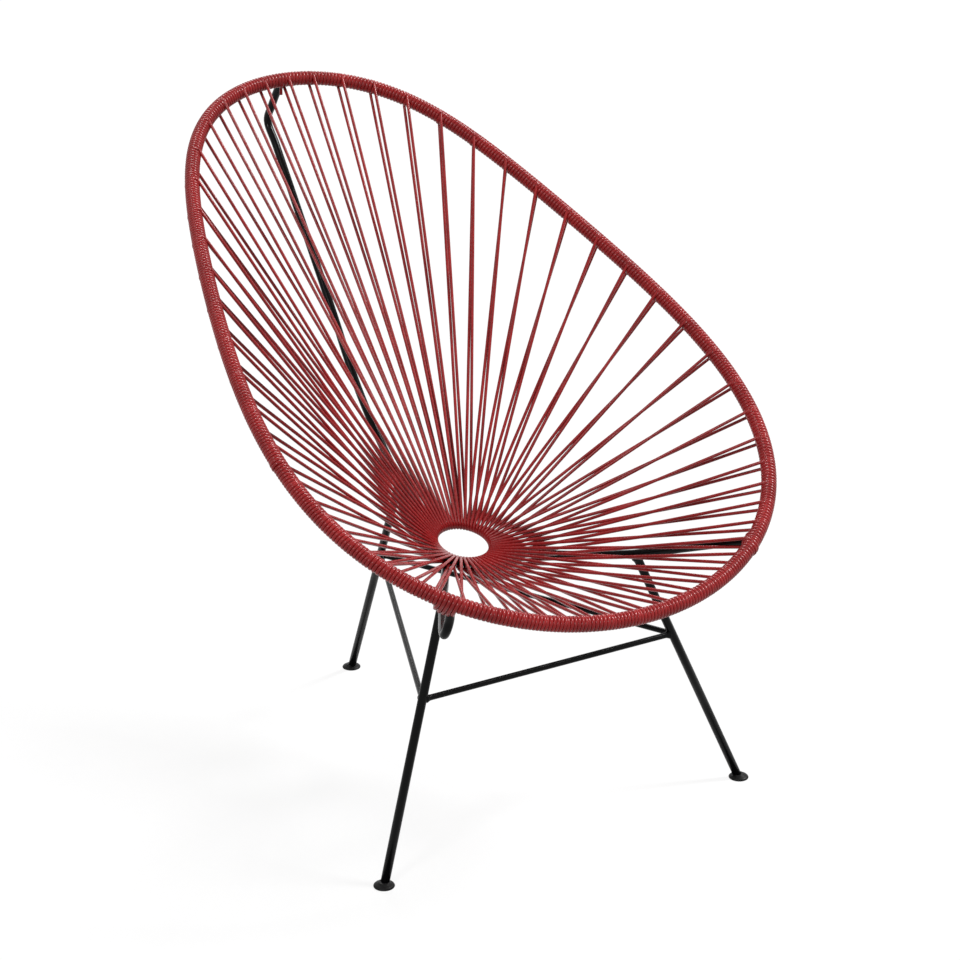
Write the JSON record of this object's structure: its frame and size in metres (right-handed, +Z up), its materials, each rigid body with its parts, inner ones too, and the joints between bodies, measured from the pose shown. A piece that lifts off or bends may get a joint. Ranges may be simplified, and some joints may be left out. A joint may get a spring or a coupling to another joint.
{
  "type": "acapulco chair",
  "caption": "Low lounge chair: an egg-shaped wound rim on a three-legged rod frame, with a seat of cords stretched from the rim to a small centre ring.",
  "frame": {"origin": "middle of the chair's outline on the floor", "axes": "+Z up, -Y towards the front lip of the seat, +X to the sitter's left"},
  "size_m": [0.7211, 1.0092, 0.9022],
  "materials": {
    "steel": "black powder coat, satin",
    "cord": "red extruded plastic cord, soft sheen",
    "rubber": "black moulded glide, matte"
  },
  "bodies": {
    "root": {"rim_tube": "steel", "centre_ring": "steel", "right_rib": "steel", "right_leg": "steel", "left_rib": "steel", "left_leg": "steel", "back_rib": "steel", "back_leg": "steel", "right_left_stretcher": "steel", "left_back_stretcher": "steel", "back_right_stretcher": "steel", "right_foot": "rubber", "left_foot": "rubber", "back_foot": "rubber", "rim_winding_01": "cord", "rim_winding_02": "cord", "rim_winding_03": "cord", "rim_winding_04": "cord", "rim_winding_05": "cord", "rim_winding_06": "cord", "rim_winding_07": "cord", "rim_winding_08": "cord", "rim_winding_09": "cord", "rim_winding_10": "cord", "rim_winding_11": "cord", "rim_winding_12": "cord", "rim_winding_13": "cord", "rim_winding_14": "cord", "rim_winding_15": "cord", "rim_winding_16": "cord", "rim_winding_17": "cord", "rim_winding_18": "cord", "rim_winding_19": "cord", "seat_cords_01": "cord", "seat_cords_02": "cord", "seat_cords_03": "cord", "seat_cords_04": "cord", "seat_cords_05": "cord", "seat_cords_06": "cord", "seat_cords_07": "cord", "seat_cords_08": "cord", "seat_cords_09": "cord", "seat_cords_10": "cord", "seat_cords_11": "cord", "seat_cords_12": "cord", "seat_cords_13": "cord", "seat_cords_14": "cord", "seat_cords_15": "cord", "seat_cords_16": "cord", "seat_cords_17": "cord", "seat_cords_18": "cord", "seat_cords_19": "cord"}
  },
  "joints": []
}
